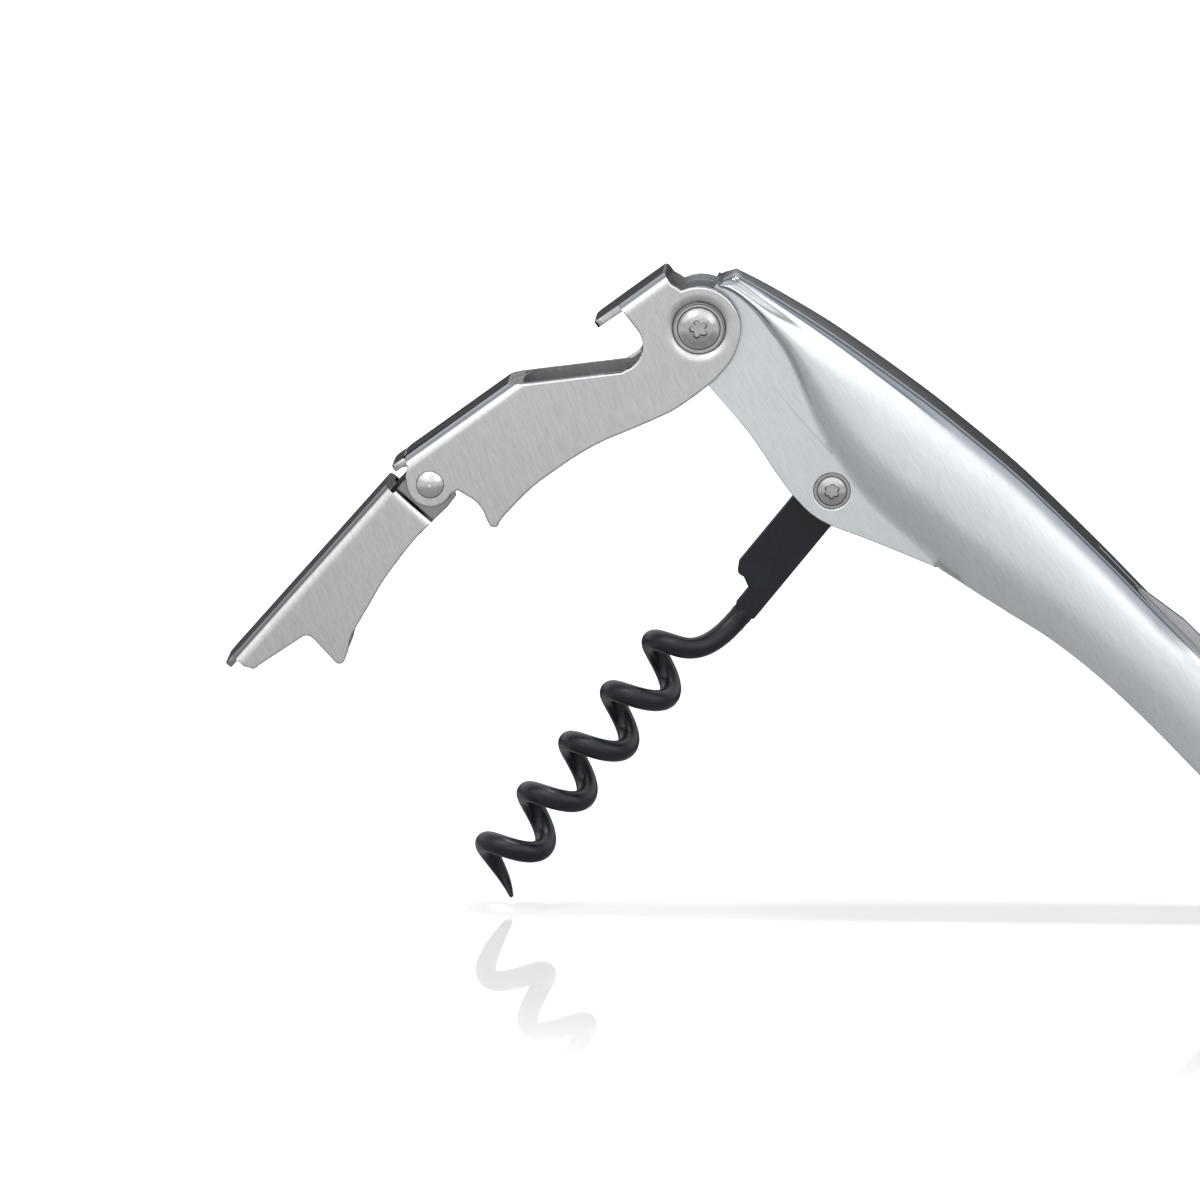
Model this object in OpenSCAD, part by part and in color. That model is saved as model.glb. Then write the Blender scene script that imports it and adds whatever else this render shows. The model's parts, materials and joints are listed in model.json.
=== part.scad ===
// Two-stage lever corkscrew of pressed stainless steel, shown opened for use.
// The side view lies in the XZ plane: the handle runs to +X, the levers to -X, the worm's point is lowest.

/* [Pose] */
// Turn of the upper lever's spine above the horizontal
lever_turn = 36; // [30:1:40]
// Turn of the lower lever's spine above the horizontal
tip_turn = 48.6; // [44:0.2:52]
// Fall of the handle's pivot line below the horizontal
handle_turn = 35; // [30:1:38]
// Direction of the worm below the horizontal, measured from +X
worm_turn = 128.8; // [124:0.2:132]
// Turn that closes the upper lever against the handle
close_turn = 88.5; // [87:0.5:89]

/* [Sheet] */
// Thickness of the stamped lever sheet
sheet = 1; // [0.9:0.05:1.1]
// Width across the two levers
lever_w = 12.2; // [12.1:0.1:13]
// Outer radius of the bends along a lever's spine
bend_r = 1.8; // [1.6:0.1:2]
// Thickness of the pressed handle sheet
shell_sheet = 1; // [0.9:0.05:1.1]
// Gap between two cheeks that slide past each other
cheek_gap = 0.1; // [0.06:0.01:0.12]

/* [Upper lever] */
// Distance of the hinge from the main pivot along the spine
lever_len = 41.5; // [41:0.5:43]
// Height of the spine's outer face over the main pivot
spine_rise = 8.6; // [8.4:0.1:9]
// Height of the hinge over the main pivot, square to the spine
hinge_rise = 3.8; // [3.6:0.1:4]
// Radius of the round ears at the main pivot
ear_r = 5.6; // [5.4:0.1:5.8]
// Radius of the round ears at the hinge
hinge_ear_r = 3.1; // [3:0.1:3.2]
// Radius of the cap lifter's mouth
mouth_r = 3.4; // [3.2:0.1:3.6]
// Length of the cap lifter's lip past its cheeks
lip_len = 4.2; // [3.8:0.1:4.6]
// Depth of the dish that the pivot screw's head sits in
dish_depth = 0.45; // [0.4:0.05:0.5]
// Radius of the dish at the cheek's face
dish_r = 4.8; // [4.6:0.1:5]

/* [Lower lever] */
// Distance from the hinge to the far end of the lower lever's outline
tip_len = 38; // [37:0.5:39]
// Height of the spine's outer face over the hinge
tip_rise = 4.34; // [4.3:0.02:4.5]
// Depth of the bottle step's heel below the hinge
tip_drop = 7.3; // [7.1:0.1:7.4]
// Distance of the web's end from the hinge
web_start = 4.2; // [4.1:0.1:4.4]

/* [Pins] */
// Radius of the main pivot's barrel
main_pin_r = 2; // [1.9:0.05:2.1]
// Radius of the worm pivot's barrel
worm_pin_r = 1.4; // [1.3:0.05:1.5]
// Radius of the lever hinge's rivet
hinge_pin_r = 1.2; // [1.1:0.05:1.3]
// Radius of the knife's rivet
knife_pin_r = 1.25; // [1.2:0.05:1.3]
// Radial clearance of a turning fit
run_gap = 0.03; // [0.02:0.01:0.05]
// Radius of the main screw's head
main_head_r = 3.2; // [3.1:0.1:3.4]
// Height of the main screw's head
main_head_h = 1.2; // [1:0.1:1.3]
// Radius of the worm screw's head
worm_head_r = 2.4; // [2.2:0.1:2.5]
// Radius of the hinge rivet's domed heads
hinge_head_r = 1.87; // [1.8:0.01:1.9]
// Height of the hinge rivet's domed heads
hinge_head_h = 0.8; // [0.6:0.1:0.9]

/* [Handle] */
// Length from the main pivot to the tail
handle_len = 112.4; // [111:0.2:114]
// Height of the back over the pivot line
back_rise = 10.4; // [10.2:0.1:10.8]
// Depth of the belly below the pivot line
belly_drop = 12.05; // [11.9:0.05:12.4]
// Width across the pressed side bulges
bulge_w = 14.8; // [14.6:0.1:15.4]
// Radius of the rounded tail
tail_r = 5.8; // [5.7:0.1:5.9]
// Gap left for the closed lever's edge along the bulge
seat_gap = 0.35; // [0.3:0.05:0.5]

/* [Worm] */
// Outer diameter of the helix
helix_d = 9.6; // [9.4:0.1:9.6]
// Diameter of the worm's wire
wire_d = 3.1; // [2.9:0.1:3.2]
// Advance of the helix in one turn
pitch = 8.97; // [8.8:0.01:9.1]
// Distance from the worm's pivot to the first turn
helix_start = 27.2; // [27:0.1:27.6]
// Distance of the helix's axis from the pivot line
helix_shift = 2.13; // [2:0.01:2.2]
// Width of the flat tang
tang_w = 6.4; // [6.2:0.1:6.5]
// Length of the wide part of the tang past the pivot
tang_len = 17; // [16.6:0.1:17.2]
// Thickness of the flat tang
tang_t = 2.6; // [2.4:0.1:2.7]

/* [Knife] */
// Length of the knife from its rivet to its point
blade_len = 44; // [42:0.5:44.5]
// Thickness of the knife's blade
blade_t = 1.2; // [1.1:0.05:1.3]
// Width of the slot that the blade folds into
slot_w = 2.2; // [2.1:0.1:2.4]
// Number of teeth along the cutting edge
tooth_count = 22; // [16:1:26]

/* [Hidden] */

steel = [0.78, 0.79, 0.8];
dark_steel = [0.62, 0.63, 0.65];
coating = [0.07, 0.08, 0.1];

// Overrun of every cut past the face that it leaves
over = 1;
// Smallest clearance between two faces that only touch
skim = 0.05;
// Segments of round bores and pins
$fn = 48;
// Steps between two given points of a smoothed outline, and steps of a rounded corner
curve_steps = 4;
corner_steps = 6;

// Half widths, from the lever's cheeks inwards
lever_half = lever_w / 2;
lever_in = lever_half - sheet;
web_half = lever_half - bend_r;
flat_half = lever_in - dish_depth - cheek_gap;
flat_in = flat_half - shell_sheet;
tip_ear_half = lever_in - cheek_gap;
tip_ear_in = tip_ear_half - sheet;

// Outlines of the upper lever as shares of its length and of its spine's rise
free_edge_shares = [[0.034, -0.68], [-0.022, -0.767], [-0.087, -0.814], [-0.207, -0.82],
    [-0.286, -0.763], [-0.382, -0.662], [-0.463, -0.575], [-0.542, -0.528], [-0.627, -0.513],
    [-0.74, -0.523], [-0.853, -0.617], [-0.892, -0.67]];
heel_centre_share = [-0.905, -0.615];
heel_r = 0.75;
step_shares = [[-0.9195, -0.5], [-0.912, -0.345], [-0.915, -0.172], [-0.928, -0.012], [-0.9395, 0.118]];
hinge_top_shares = [[-1.05, 0.765], [-1.029, 0.85], [-1.021, 0.93]];
ramp_shares = [[-0.61, 1], [-0.282, 0.135]];
mouth_centre_share = [-0.246, 0.512];
mouth_end_share = -0.168;
web_end_share = 0.01;
web_corner_shares = [[0.012, 0.8], [0.02, 0.72]];
lip_reach_share = -1.076;

// Outlines of the lower lever as shares of its length, and of its rise or its drop
toe_centre_share = [-0.9, 0.38];
toe_r = 0.75;
tip_reach_share = -0.978;
tip_notch_shares = [[-0.708, -0.13], [-0.698, -0.165], [-0.692, -0.23], [-0.691, -0.3]];
tip_heel_centre_share = [-0.683, -0.895];
tip_edge_shares = [[-0.645, -0.93], [-0.6, -0.8], [-0.551, -0.73], [-0.47, -0.65], [-0.374, -0.547],
    [-0.279, -0.495], [-0.188, -0.467], [-0.106, -0.477]];
tip_ear_shares = [[-0.025, -0.526], [0.026, -0.507]];
toe_top_share = [-0.93, 0.53];
shoulder_share = 0.101;

// Outlines of the handle as shares of its length, and of its back's rise or its belly's depth
back_shares = [[-0.0092, 0.67], [-0.0074, 0.77], [0.0066, 0.805], [0.0478, 0.858], [0.12, 0.908],
    [0.181, 0.917], [0.258, 0.907], [0.315, 0.877], [0.4, 0.805], [0.456, 0.722], [0.552, 0.551],
    [0.64, 0.372], [0.747, 0.164], [0.854, -0.058], [0.925, -0.213], [1, -0.408]];
belly_shares = [[0.0505, -0.487], [0.0857, -0.568], [0.118, -0.647], [0.15, -0.755], [0.177, -0.855],
    [0.207, -0.946], [0.238, -1], [0.268, -0.973], [0.31, -0.871], [0.36, -0.763], [0.405, -0.676],
    [0.45, -0.652], [0.505, -0.618], [0.553, -0.593], [0.623, -0.622], [0.712, -0.739], [0.819, -0.93],
    [0.907, -1.071], [0.95, -1.082], [1.02, -1.082]];
seat_mid_share = [0.354, -0.622];
seat_end_share = 0.396;
half_width_shares = [[-0.02, 0.74], [0, 0.755], [0.04, 0.82], [0.13, 0.93], [0.27, 1], [0.36, 1.01],
    [0.49, 0.985], [0.62, 0.93], [0.76, 0.86], [0.89, 0.8], [1, 0.76], [1.05, 0.75]];
back_width_shares = [[-0.02, 0.36], [0.02, 0.4], [0.07, 0.48], [0.12, 0.57], [0.2, 0.62], [0.4, 0.62],
    [0.7, 0.58], [1, 0.52], [1.05, 0.51]];
lip_width_shares = [[0, 0.61], [0.4, 0.61], [0.44, 0.7], [0.5, 0.8], [0.62, 0.83], [0.76, 0.8],
    [0.89, 0.77], [1, 0.74], [1.05, 0.73]];
tail_centre_share = [0.9484, -0.69];
worm_pivot_share = [0.242, -0.656];
knife_pivot_share = [0.9466, -0.67];
slot_end_share = 0.545;
stop_pin_share = [0.846, -0.345];
nose_r = 5.1;
skirt = 0.5;

// Turns a plane outline that lies in XZ by the given number of degrees
function turned(p, a) = [p[0] * cos(a) - p[1] * sin(a), p[0] * sin(a) + p[1] * cos(a)];
function scaled(shares, along, up) = [for (s = shares) [s[0] * along, s[1] * up]];
function arc(c, r, from, to, steps = corner_steps) =
    [for (i = [0:steps]) let (a = from + (to - from) * i / steps) [c[0] + r * cos(a), c[1] + r * sin(a)]];
function between(a, b, c, d, t) = 0.5 * (2 * b + (c - a) * t + (2 * a - 5 * b + 4 * c - d) * t * t
    + (3 * b - a - 3 * c + d) * t * t * t);
function smooth(p, steps = curve_steps) = concat(
    [for (i = [0:len(p) - 2], k = [0:steps - 1])
        between(p[max(i - 1, 0)], p[i], p[i + 1], p[min(i + 2, len(p) - 1)], k / steps)],
    [p[len(p) - 1]]);
function unit(v) = v / norm(v);
function turned_left(v) = [-v[1], v[0]];
// Moves a line of points sideways, to the left of its direction
function shifted(p, d) = [for (i = [0:len(p) - 1])
    p[i] + d * turned_left(unit(p[min(i + 1, len(p) - 1)] - p[max(i - 1, 0)]))];

// Places of the pivots in the frames of the pieces that hold them
hinge_at = [-lever_len, hinge_rise];
worm_pivot_at = [worm_pivot_share[0] * handle_len, worm_pivot_share[1] * belly_drop];
knife_at = [knife_pivot_share[0] * handle_len, knife_pivot_share[1] * back_rise];
stop_pin_at = [stop_pin_share[0] * handle_len, stop_pin_share[1] * back_rise];
tail_at = [tail_centre_share[0] * handle_len, tail_centre_share[1] * back_rise];

// The worm's point in the frame of its pivot
helix_r = (helix_d - wire_d) / 2;
helix_turn_share = 4.94;
helix_len = pitch * helix_turn_share;
point_r = 0.35;
point_at = [helix_start + helix_len, -helix_shift + (helix_d / 2 - point_r) * cos(360 * helix_turn_share)];

// The object's own frame: the middle of its length, and the level of the worm's point
worm_world = turned(worm_pivot_at, -handle_turn);
point_world = worm_world + turned(point_at, -worm_turn);
tail_world = turned(tail_at, -handle_turn);
toe_world = turned(hinge_at, lever_turn) + turned([tip_reach_share * tip_len, tip_rise], tip_turn);
origin_x = (tail_world[0] + tail_r + toe_world[0]) / 2;
origin_z = point_world[1] - point_r;

// Frames of the pieces
module object_frame() { translate([-origin_x, 0, -origin_z]) children(); }
module turn_up(a) { rotate([0, -a, 0]) children(); }
module at_profile(p) { translate([p[0], 0, p[1]]) children(); }
module lever_frame() { object_frame() turn_up(lever_turn) children(); }
module hinge_frame(a) { lever_frame() at_profile(hinge_at) turn_up(a) children(); }
module tip_frame() { hinge_frame(tip_turn - lever_turn) children(); }
module handle_frame() { object_frame() turn_up(-handle_turn) children(); }
module worm_frame() { handle_frame() at_profile(worm_pivot_at) turn_up(handle_turn - worm_turn) children(); }
module knife_frame() { handle_frame() at_profile(knife_at) turn_up(knife_line) children(); }

// A side outline as a slab across the object's width, between two places on the Y axis
module slab(from, to) { translate([0, to, 0]) rotate([90, 0, 0]) linear_extrude(to - from) children(); }
module pin_bar(r, from, to) { translate([0, to, 0]) rotate([90, 0, 0]) cylinder(h = to - from, r = r); }
module both_sides() { children(); mirror([0, 1, 0]) children(); }

// Cross-section of a bent sheet: the outside of a channel whose top edges are rounded
module channel_outside(half, top, bottom, r) {
    translate([-half, bottom]) square([2 * half, top - r - bottom]);
    translate([-half + r, bottom]) square([2 * (half - r), top - bottom]);
    for (s = [-1, 1]) translate([s * (half - r), top - r]) circle(r);
}
module channel(from, to, half, top, bottom, r, t) {
    translate([from, 0, 0]) rotate([90, 0, 90]) linear_extrude(to - from) difference() {
        channel_outside(half, top, bottom, r);
        channel_outside(half - t, top - t, bottom - over, r - t);
    }
}

// A tongue of the flat web with two rounded corners at its free end
tongue_corner_r = 1.2;
module tongue(root, reach, top) {
    dir = reach < root ? -1 : 1;
    translate([0, 0, top - sheet]) linear_extrude(sheet) {
        translate([min(root, reach - dir * tongue_corner_r), -web_half])
            square([abs(reach - root) - tongue_corner_r, 2 * web_half]);
        translate([min(root, reach), -web_half + tongue_corner_r])
            square([abs(reach - root), 2 * (web_half - tongue_corner_r)]);
        for (s = [-1, 1]) translate([reach - dir * tongue_corner_r, s * (web_half - tongue_corner_r)])
            circle(tongue_corner_r);
    }
}

// Recess of a screw head: a star of rounded lobes
module star(r, lobes, depth) {
    linear_extrude(depth) {
        circle(r * 0.62);
        for (i = [0:lobes - 1]) rotate(i * 360 / lobes) translate([r * 0.66, 0]) circle(r * 0.34);
    }
}

// Upper lever
ear_from = 79;
ear_to = -55;
mouth_c = [mouth_centre_share[0] * lever_len, mouth_centre_share[1] * spine_rise];
ramp = scaled(ramp_shares, lever_len, spine_rise);
ramp_dir = unit(ramp[0] - ramp[1]);
free_edge = smooth(concat([ear_r * [cos(ear_to), sin(ear_to)]],
    scaled(free_edge_shares, lever_len, spine_rise)));
upper_outline = concat(
    arc([0, 0], ear_r, ear_from, ear_to, 2 * corner_steps),
    [for (i = [1:len(free_edge) - 1]) free_edge[i]],
    arc([heel_centre_share[0] * lever_len, heel_centre_share[1] * spine_rise], heel_r, -75, -178),
    smooth(scaled(step_shares, lever_len, spine_rise)),
    arc(hinge_at, hinge_ear_r, -62, -208, 2 * corner_steps),
    scaled(hinge_top_shares, lever_len, spine_rise),
    [[hinge_top_shares[2][0] * lever_len, spine_rise + over]],
    [ramp[0] + ramp_dir * over / ramp_dir[1], ramp[1]],
    arc(mouth_c, mouth_r, -105, 5, 2 * corner_steps),
    [[mouth_end_share * lever_len, spine_rise + over], [web_end_share * lever_len, spine_rise + over]],
    scaled(web_corner_shares, lever_len, spine_rise));

module upper_cheeks() {
    intersection() {
        channel(-lever_len - hinge_ear_r - over, ear_r + over, lever_half, spine_rise, -spine_rise,
            bend_r, sheet);
        slab(-lever_half - over, lever_half + over) polygon(upper_outline);
    }
}

// The dish round the main pivot: its floor stands inwards from the cheek by its depth
dish_floor_r = main_head_r + 4 * skim;
dish_curve = [for (i = [0:corner_steps]) let (t = i / corner_steps)
    [dish_floor_r + (dish_r - dish_floor_r) * t, lever_half - dish_depth * (1 - t) * (1 - t)]];
module dish_boss() {
    rotate([90, 0, 0]) rotate_extrude() polygon([
        [0, lever_in - dish_depth], [dish_r - sheet / 2, lever_in - dish_depth], [dish_r, lever_in],
        [dish_r, lever_in + sheet / 2], [0, lever_in + sheet / 2]]);
}
module dish_hollow() {
    rotate([90, 0, 0]) rotate_extrude() polygon(concat([[0, lever_half - dish_depth]], dish_curve,
        [[dish_r, lever_half + over], [0, lever_half + over]]));
}

module upper_lever() {
    color(steel) lever_frame() difference() {
        union() {
            upper_cheeks();
            tongue(-lever_len - bend_r / 2, lip_reach_share * lever_len, spine_rise);
            tongue(mouth_end_share * lever_len + bend_r, mouth_end_share * lever_len - lip_len, spine_rise);
            both_sides() dish_boss();
        }
        both_sides() dish_hollow();
        pin_bar(main_pin_r + run_gap, -lever_half - over, lever_half + over);
        at_profile(hinge_at) pin_bar(hinge_pin_r + skim / 2, -lever_half - over, lever_half + over);
    }
}

// Lower lever: a channel, with ears joggled inwards to sit between the upper lever's cheeks
toe_c = [toe_centre_share[0] * tip_len, toe_centre_share[1] * tip_rise];
tip_heel_c = [tip_heel_centre_share[0] * tip_len, tip_heel_centre_share[1] * tip_drop];
tip_edge = smooth(scaled(tip_edge_shares, tip_len, tip_drop));
shoulder_x = shoulder_share * tip_len;
joggle_from = -shoulder_x - sheet;
joggle_to = -shoulder_x + sheet / 3;
joggle_curve = [for (i = [0:corner_steps]) let (a = 90 * i / corner_steps)
    [joggle_from + (joggle_to - joggle_from) * sin(a), tip_ear_half + (lever_half - tip_ear_half) * cos(a)]];
tip_edge_end = tip_edge[len(tip_edge) - 1];
lower_outline = concat(
    [[toe_top_share[0] * tip_len, tip_rise + over],
    [toe_top_share[0] * tip_len, toe_top_share[1] * tip_rise]],
    arc(toe_c, toe_r, 185, 285),
    scaled(tip_notch_shares, tip_len, tip_drop),
    arc(tip_heel_c, heel_r, 180, 295),
    tip_edge,
    [[-shoulder_x, tip_edge_end[1]], [-shoulder_x, tip_rise + over]]);
ear_outline = concat(
    [[-shoulder_x - sheet, tip_edge_end[1]]],
    scaled(tip_ear_shares, tip_len, tip_drop),
    arc([0, 0], hinge_ear_r, -60, 115, 2 * corner_steps),
    [[-shoulder_x - sheet, hinge_ear_r * sin(115)]]);

module lower_channel() {
    difference() {
        intersection() {
            channel(-tip_len, -web_start, lever_half, tip_rise, -tip_drop - over, bend_r, sheet);
            slab(-lever_half - over, lever_half + over) polygon(lower_outline);
        }
        both_sides() translate([0, 0, -tip_drop - over]) linear_extrude(tip_drop + tip_rise + 2 * over)
            polygon(concat(joggle_curve, [[joggle_to, lever_half + over], [joggle_from, lever_half + over]]));
    }
}

// Plan of one joggled ear, from inside the cheek over the shoulder to the ear's end
module ear_plan() {
    polygon(concat([[-shoulder_x - 2 * sheet, lever_in], [-shoulder_x - 2 * sheet, lever_half]],
        joggle_curve,
        [[hinge_ear_r + over, tip_ear_half], [hinge_ear_r + over, tip_ear_in],
        [-shoulder_x, tip_ear_in], [joggle_from, lever_in]]));
}
module lower_ears() {
    intersection() {
        both_sides() translate([0, 0, -tip_drop]) linear_extrude(tip_drop + tip_rise - bend_r / 2) ear_plan();
        slab(-lever_half - over, lever_half + over) polygon(concat(
            [[-shoulder_x - 2 * sheet, tip_edge_end[1]]], ear_outline,
            [[-shoulder_x - 2 * sheet, hinge_ear_r * sin(115)]]));
    }
}

module lower_lever() {
    color(steel) tip_frame() difference() {
        union() {
            lower_channel();
            lower_ears();
            tongue(toe_top_share[0] * tip_len + bend_r, tip_reach_share * tip_len, tip_rise);
        }
        pin_bar(hinge_pin_r + run_gap, -lever_half - over, lever_half + over);
    }
}

// Hinge rivet with domed heads, and the sleeve that keeps the ears apart
module dome(r, h) {
    ball_r = (r * r + h * h) / (2 * h);
    intersection() {
        translate([0, 0, h - ball_r]) sphere(ball_r);
        cylinder(h = h, r = r);
    }
}
module near_face(y) { translate([0, -y, 0]) rotate([90, 0, 0]) children(); }
module hinge_rivet() {
    color(steel) hinge_frame(0) {
        pin_bar(hinge_pin_r, -lever_half - skim, lever_half + skim);
        both_sides() near_face(lever_half) dome(hinge_head_r, hinge_head_h);
    }
}
sleeve_wall = 0.6;
module hinge_sleeve() {
    color(dark_steel) hinge_frame(0) difference() {
        pin_bar(hinge_pin_r + sleeve_wall, -tip_ear_in + skim, tip_ear_in - skim);
        pin_bar(hinge_pin_r + skim / 2, -tip_ear_in, tip_ear_in);
    }
}

// Main pivot: a barrel with a domed head on the far side, and a screw with a domed head on the near side
screw_r_share = 0.6;
star_depth_share = 0.5;
head_rim = 0.35;
main_seat = lever_half - dish_depth + skim;
module pan_head(r, h) {
    cylinder(h = h * 0.3, r = r);
    cylinder(h = h * 0.42, r = r - head_rim);
    translate([0, 0, h * 0.4]) dome(r - head_rim, h * 0.6);
}
module main_pivot_barrel() {
    color(dark_steel) lever_frame() difference() {
        union() {
            pin_bar(main_pin_r, -main_seat + skim, main_seat + skim);
            mirror([0, 1, 0]) near_face(main_seat) pan_head(main_head_r, main_head_h);
        }
        pin_bar(main_pin_r * screw_r_share + skim / 2, -main_seat - over, 0);
    }
}
module main_pivot_screw() {
    color(dark_steel) lever_frame() difference() {
        union() {
            pin_bar(main_pin_r * screw_r_share, -main_seat - skim, -lever_half / 4);
            near_face(main_seat) pan_head(main_head_r, main_head_h);
        }
        near_face(main_seat + main_head_h * (1 - star_depth_share))
            star(main_head_r * 0.4, 5, main_head_h);
    }
}
module main_pivot_sleeve() {
    color(dark_steel) lever_frame() difference() {
        pin_bar(main_pin_r + sleeve_wall, -flat_in + skim, flat_in - skim);
        pin_bar(main_pin_r + skim / 2, -flat_in, flat_in);
    }
}

// Worm pivot: the same pair at a smaller size, with heads let into the flat cheeks
worm_head_h = 0.9;
worm_head_sink = 0.55;
worm_seat = flat_half - worm_head_sink;
module worm_pivot_barrel() {
    color(dark_steel) handle_frame() at_profile(worm_pivot_at) difference() {
        union() {
            pin_bar(worm_pin_r, -worm_seat + skim, worm_seat + skim);
            mirror([0, 1, 0]) near_face(worm_seat) pan_head(worm_head_r, worm_head_h);
        }
        pin_bar(worm_pin_r * screw_r_share + skim / 2, -worm_seat - over, 0);
    }
}
module worm_pivot_screw() {
    color(dark_steel) handle_frame() at_profile(worm_pivot_at) difference() {
        union() {
            pin_bar(worm_pin_r * screw_r_share, -worm_seat - skim, -flat_half / 4);
            near_face(worm_seat) pan_head(worm_head_r, worm_head_h);
        }
        near_face(worm_seat + worm_head_h * (1 - star_depth_share))
            star(worm_head_r * 0.45, 6, worm_head_h);
    }
}
spacer_r = worm_pin_r + 1.4 * sleeve_wall;
module worm_spacer() {
    handle_frame() at_profile(worm_pivot_at) difference() {
        pin_bar(spacer_r, -flat_in + skim, -tang_t / 2 - skim);
        pin_bar(worm_pin_r + skim / 2, -flat_in - over, 0);
    }
}
module worm_spacer_near() { color(dark_steel) worm_spacer(); }
module worm_spacer_far() { color(dark_steel) mirror([0, 1, 0]) worm_spacer(); }

// Handle: flat cheeks at the front and a pressed shell whose sides bulge out, open along the belly
back_line = smooth(scaled(back_shares, handle_len, back_rise));
belly_line = smooth(scaled(belly_shares, handle_len, belly_drop));
closed_edge = [for (p = free_edge) turned(p, lever_turn + close_turn + handle_turn)];
function back_z(x) = lookup(x, back_line);
function belly_z(x) = lookup(x, belly_line);
seat_end = seat_end_share * handle_len;
seat_line = concat(
    shifted(closed_edge, seat_gap),
    scaled([seat_mid_share], handle_len, belly_drop),
    [[seat_end, belly_z(seat_end)]]);
front_x = back_line[0][0];
function seat_z(x) = x < seat_end ? lookup(x, seat_line) : belly_z(x);
function share_at(x, table) = lookup(x / handle_len, table);

// Half of one cross-section: from the lower edge up over the side to the middle of the back
side_steps = 9;
crease_steps = 3;
back_steps = 2;
swell_share = 0.42;
crease_r = 1;
function half_section(x, inset) = let (
    low = seat_z(x),
    high = max(back_z(x) - inset, low + shell_sheet / 2),
    full = bulge_w / 2 * share_at(x, half_width_shares) - inset,
    foot = min(full, max(flat_half - skim, bulge_w / 2 * share_at(x, lip_width_shares)) - inset),
    back = bulge_w / 2 * share_at(x, back_width_shares) - inset / 2,
    round = min(crease_r, (high - low) / 3, full - back))
    concat(
        [for (k = [0:side_steps]) let (u = k / side_steps, v = (u - swell_share) / (1 - swell_share)) [
            u < swell_share
                ? foot + (full - foot) * sin(90 * u / swell_share)
                : full - (full - back - round) * v * v,
            low + (high - round - low) * u]],
        arc([back, high - round], round, 90 / crease_steps, 90, crease_steps - 1),
        [for (k = [1:back_steps]) [back * (1 - k / back_steps), high]]);
function mirrored(p) = [for (i = [len(p) - 2:-1:0]) [-p[i][0], p[i][1]]];
function section(x) = let (out = half_section(x, 0), in = half_section(x, shell_sheet))
    concat(out, mirrored(out), reversed(concat(in, mirrored(in))));
function reversed(p) = [for (i = [len(p) - 1:-1:0]) p[i]];

station_count = 60;
tail_over = 2;
function station(i) = let (s = i / station_count)
    front_x + (handle_len + tail_over - front_x) * (0.55 * s + 0.45 * s * s);
function ring(x) = [for (p = section(x)) [x, p[0], p[1]]];

// A solid through equal rings of points, closed by a fan or a strip at each end
module ring_loft(rings) {
    n = len(rings[0]);
    m = len(rings);
    half = n / 2;
    points = [for (r = rings, p = r) p];
    sides = [for (i = [0:m - 2], k = [0:n - 1]) let (a = i * n + k, b = i * n + (k + 1) % n)
        each [[a, b + n, b], [a, a + n, b + n]]];
    function cap(base) = [for (k = [0:half - 2]) let (a = base + k, b = base + k + 1,
        c = base + n - 2 - k, d = base + n - 1 - k) each [[a, b, c], [a, c, d]]];
    function flipped(f) = [for (t = f) [t[2], t[1], t[0]]];
    polyhedron(points, concat(sides, cap(0), flipped(cap((m - 1) * n))));
}

module pressed_shell() {
    intersection() {
        ring_loft([for (i = [0:station_count]) ring(station(i))]);
        slab(-bulge_w, bulge_w) {
            translate([front_x, -belly_drop - back_rise])
                square([tail_at[0] - front_x, 2 * (belly_drop + back_rise)]);
            translate(tail_at) circle(tail_r);
        }
    }
}

nose_from = 105;
nose_to = 312;
flat_outline = concat(
    arc([0, 0], nose_r, nose_from, nose_to, 3 * corner_steps),
    [for (p = belly_line) if (p[0] < seat_end) p],
    reversed([for (p = seat_line) [p[0], p[1] + skirt]]));
module flat_cheeks() {
    both_sides() slab(flat_in, flat_half) polygon(flat_outline);
}

module handle_shell() {
    color(steel) handle_frame() difference() {
        union() {
            pressed_shell();
            flat_cheeks();
        }
        translate([slot_end_share * handle_len, -slot_w / 2, -2 * back_rise])
            cube([handle_len, slot_w, 4 * back_rise]);
        pin_bar(main_pin_r + skim / 2, -flat_half - over, flat_half + over);
        at_profile(worm_pivot_at) {
            pin_bar(worm_pin_r + skim / 2, -flat_half - over, flat_half + over);
            both_sides() pin_bar(worm_head_r + skim, worm_seat, flat_half + over);
        }
        at_profile(knife_at) {
            pin_bar(knife_pin_r + skim / 2, -bulge_w, bulge_w);
            both_sides() pin_bar(knife_head_r + skim, knife_seat, bulge_w);
        }
        at_profile(stop_pin_at) pin_bar(stop_pin_r + skim / 2, -bulge_w, bulge_w);
    }
}

// Knife rivet, spacers and the pin that its heel rests on
stop_pin_r = 0.7;
tail_half = bulge_w / 2 * share_at(knife_at[0], half_width_shares);
knife_seat = tail_half - shell_sheet / 3;
knife_head_r = 2.1;
knife_head_h = 0.5;
knife_spacer_r = 2.1;
knife_spacer_to = (tail_half - shell_sheet) * 0.74;
module knife_rivet() {
    color(dark_steel) handle_frame() at_profile(knife_at) {
        pin_bar(knife_pin_r, -knife_seat - skim, knife_seat + skim);
        both_sides() near_face(knife_seat) dome(knife_head_r, knife_head_h);
    }
}
module knife_spacer() {
    handle_frame() at_profile(knife_at) difference() {
        pin_bar(knife_spacer_r, -knife_spacer_to, -blade_t / 2 - skim);
        pin_bar(knife_pin_r + skim / 2, -knife_spacer_to - over, 0);
    }
}
module knife_spacer_near() { color(dark_steel) knife_spacer(); }
module knife_spacer_far() { color(dark_steel) mirror([0, 1, 0]) knife_spacer(); }
module knife_stop_pin() {
    stop_half = bulge_w / 2 * share_at(stop_pin_at[0], half_width_shares) - shell_sheet / 2;
    color(dark_steel) handle_frame() at_profile(stop_pin_at) pin_bar(stop_pin_r, -stop_half, stop_half);
}

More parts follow.
